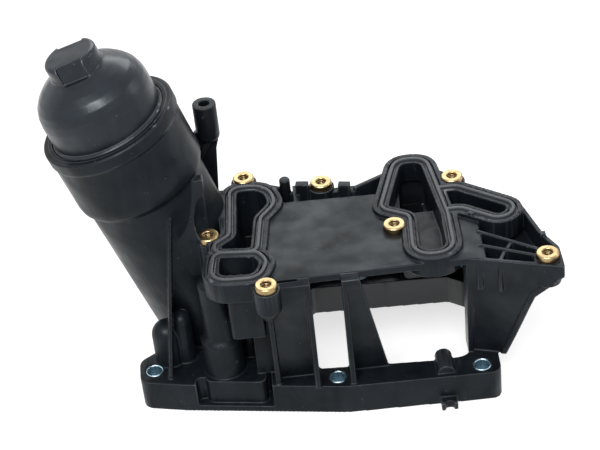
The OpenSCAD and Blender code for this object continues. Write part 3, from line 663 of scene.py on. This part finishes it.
SPRINGS = [("bypass_spring", (-64.5, 21), 3.7, 8.3, 54.7, 8.3, 4.0, "bypass_slide"),
           ("return_spring", (-48.6, 36), 4.1, 8.3, 32.7, 32.7, 5.0, "return_slide")]
for name, centre, radius, low, high, fixed, travel, joint in SPRINGS:
    mesh = spring_mesh(name, centre, radius, 0.6, low, high)
    mesh.materials.append(steel)
    mesh.shade_smooth()
    spring = add_piece(name + "_coil", mesh, "housing", "steel", name)
    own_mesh(spring)
    print(name, "coil:", len(mesh.polygons), "faces")

# %% [markdown]
# The pistons, plugs, seals, discs and the paper are hidden in the housing. Their
# solids have the right shape, so they keep it, and get a bevel and a finish.

# %% Inner parts
FINISHES = {"bypass_piston": steel, "return_piston": steel, "return_seat": steel, "bypass_plug": disc_nylon,
            "support_tube": disc_nylon, "filter_top_disc": disc_nylon, "filter_foot_disc": disc_nylon,
            "filter_paper": paper, "cap_seal_ring": seal_rubber, "port_seal_1": seal_rubber,
            "port_seal_2": seal_rubber, "port_seal_3": seal_rubber}
for name, finish in FINISHES.items():
    solid = nodes[name]
    solid.data.materials.clear()
    solid.data.materials.append(finish)
    if name not in ("filter_paper", "cap_seal_ring"):
        bevel = solid.modifiers.new("edges", "BEVEL")
        bevel.width = 0.25 * MM
        bevel.segments = 2
        bevel.limit_method = "ANGLE"
        bevel.angle_limit = math.radians(50)
        solid.modifiers.new("normals", "WEIGHTED_NORMAL").keep_sharp = True
print("inner parts finished:", len(FINISHES))

# %% [markdown]
# The studio is white paper: a floor and a world that read as white in the picture
# and in reflections, and that give a plain, even light. The floor is a matt white
# sheet with a little glow of its own for the camera, so it turns white where it is
# lit, and the shadow of the housing stays on it.

# %% Studio floor
def seen_directly(tree):
    """One where the ray comes from the camera, or through a mirror or glass."""
    path = node(tree, "ShaderNodeLightPath")
    mirrored = sums(tree, "MAXIMUM", path.outputs["Is Glossy Ray"], path.outputs["Is Transmission Ray"])
    return sums(tree, "MAXIMUM", path.outputs["Is Camera Ray"], mirrored)


floor_mesh = bpy.data.meshes.new("floor")
SPAN = 3.0
floor_mesh.from_pydata([(-SPAN, -SPAN, 0), (SPAN, -SPAN, 0), (SPAN, SPAN, 0), (-SPAN, SPAN, 0)], [], [(0, 1, 2, 3)])
floor = bpy.data.objects.new("floor", floor_mesh)
floor.location.z = -0.0002
bpy.context.collection.objects.link(floor)
floor_finish, tree, shader = new_material("white paper floor", 0.95, Base_Color=(0.45, 0.45, 0.45, 1),
                                          Specular_IOR_Level=0.0)
glow = node(tree, "ShaderNodeEmission", {"Color": (1, 1, 1, 1), "Strength": 0.70})
lit = tree.nodes.new("ShaderNodeAddShader")
tree.links.new(shader.outputs[0], lit.inputs[0])
tree.links.new(glow.outputs[0], lit.inputs[1])
choice = node(tree, "ShaderNodeMixShader", {0: seen_directly(tree)})
tree.links.new(shader.outputs[0], choice.inputs[1])
tree.links.new(lit.outputs[0], choice.inputs[2])
out = [n for n in tree.nodes if n.type == "OUTPUT_MATERIAL"][0]
tree.links.new(choice.outputs[0], out.inputs["Surface"])
floor_mesh.materials.append(floor_finish)
print("floor is", 2 * SPAN, "m wide")

# %% World
world = bpy.data.worlds.new("studio")
bpy.context.scene.world = world
world.use_nodes = True
tree = world.node_tree
tree.nodes.clear()
strength = spread(tree, seen_directly(tree), 0, 1, 0.42, 1.0)
sky = node(tree, "ShaderNodeBackground", {"Color": (1, 1, 1, 1), "Strength": strength})
tree.links.new(sky.outputs[0], node(tree, "ShaderNodeOutputWorld").inputs["Surface"])
print("world is ready")

# %% [markdown]
# Black nylon has almost no colour of its own, so the lamps draw it. A wide soft box
# over the camera draws the highlight across the dome and on the round shoulders of
# the valve casing. Another one behind is what the deck mirrors, so the deck turns
# into a lighter grey.

# %% Lamps
def soft_lamp(name, place, target, width, height, watts):
    """A rectangular lamp in metres that faces a target."""
    data = bpy.data.lights.new(name, "AREA")
    data.shape = "RECTANGLE"
    data.size, data.size_y = width, height
    data.energy = watts
    lamp = bpy.data.objects.new(name, data)
    bpy.context.collection.objects.link(lamp)
    lamp.location = place
    lamp.rotation_euler = (Vector(target) - Vector(place)).to_track_quat("-Z", "Y").to_euler()
    return lamp


soft_lamp("key lamp", (-0.22, -0.76, 1.15), (-0.07, 0.05, 0.10), 0.85, 0.28, 18)
soft_lamp("back lamp", (0.06, 0.95, 0.78), (0.0, 0.04, 0.08), 0.85, 0.5, 4.6)
soft_lamp("side lamp", (0.95, 0.15, 0.55), (0.02, 0.04, 0.06), 0.3, 0.5, 1.5)
print("lamps are ready")
